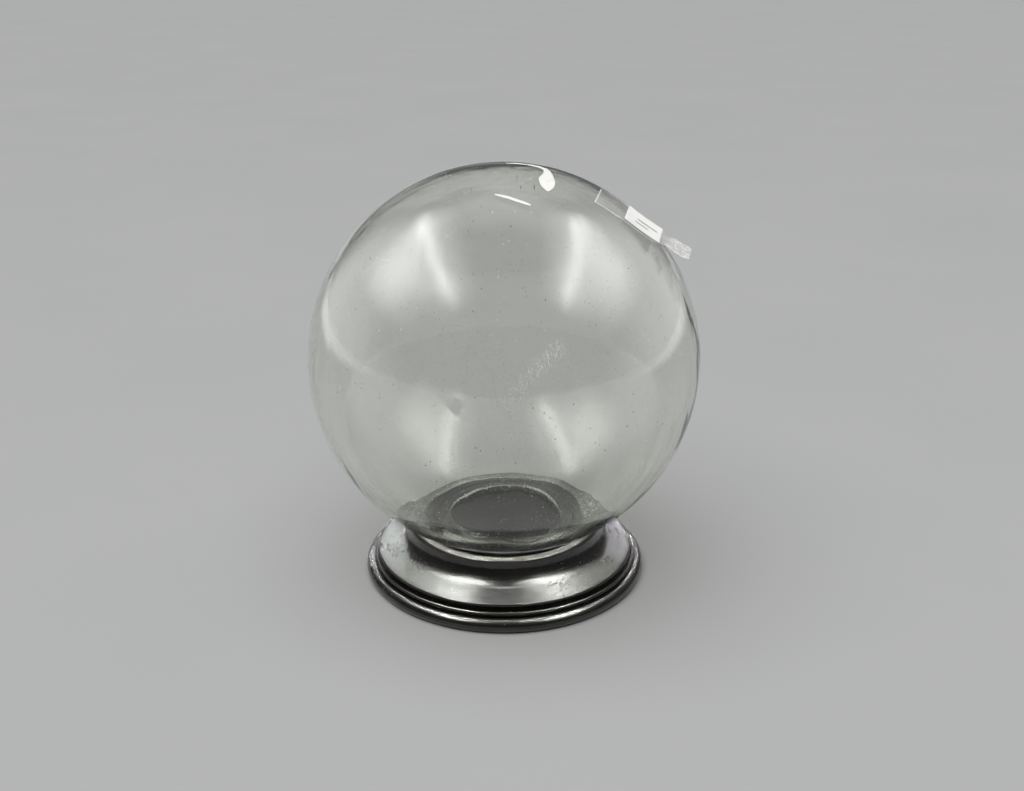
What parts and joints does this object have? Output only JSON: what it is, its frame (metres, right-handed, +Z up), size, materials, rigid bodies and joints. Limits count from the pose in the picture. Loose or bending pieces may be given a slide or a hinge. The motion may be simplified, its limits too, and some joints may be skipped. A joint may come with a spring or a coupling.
{
  "type": "globe display dome",
  "caption": "Blown glass globe, open below with a folded rim, nested in a dished, turned and ebonised wooden base; the globe lifts straight off over the exhibit.",
  "frame": {"origin": "centre of the underside, on the surface that the base stands on", "axes": "+Z up, along the axis that the base is turned on and the globe lifts along; -Y is the front, and the taped label is on the +X side"},
  "size_m": [0.305, 0.305, 0.3332],
  "materials": {
    "clear_glass": "clear blown glass with a faint green-grey tint",
    "ebonised_wood": "semi-gloss black stain and wax, worn brown on the edges",
    "black_baize": "matte wool felt",
    "screw_steel": "dull, lightly aged",
    "clear_tape": "clear adhesive film, slightly crumpled",
    "white_paper": "matte uncoated paper"
  },
  "bodies": {
    "base": {"underside_baize": "black_baize", "base_plinth": "ebonised_wood", "base_stage": "ebonised_wood", "display_floor": "ebonised_wood", "seat_baize_ring": "black_baize", "wood_screw_1": "screw_steel", "wood_screw_2": "screw_steel", "wood_screw_3": "screw_steel"},
    "dome": {"glass_globe": "clear_glass", "clear_tape": "clear_tape", "lot_label": "white_paper", "paper_scrap": "white_paper", "paper_sliver": "white_paper"}
  },
  "joints": [
    {"name": "dome_lift", "type": "slide", "parent": "base", "child": "dome", "axis": [0, 0, 1], "range_m": [0, 0.3]}
  ]
}
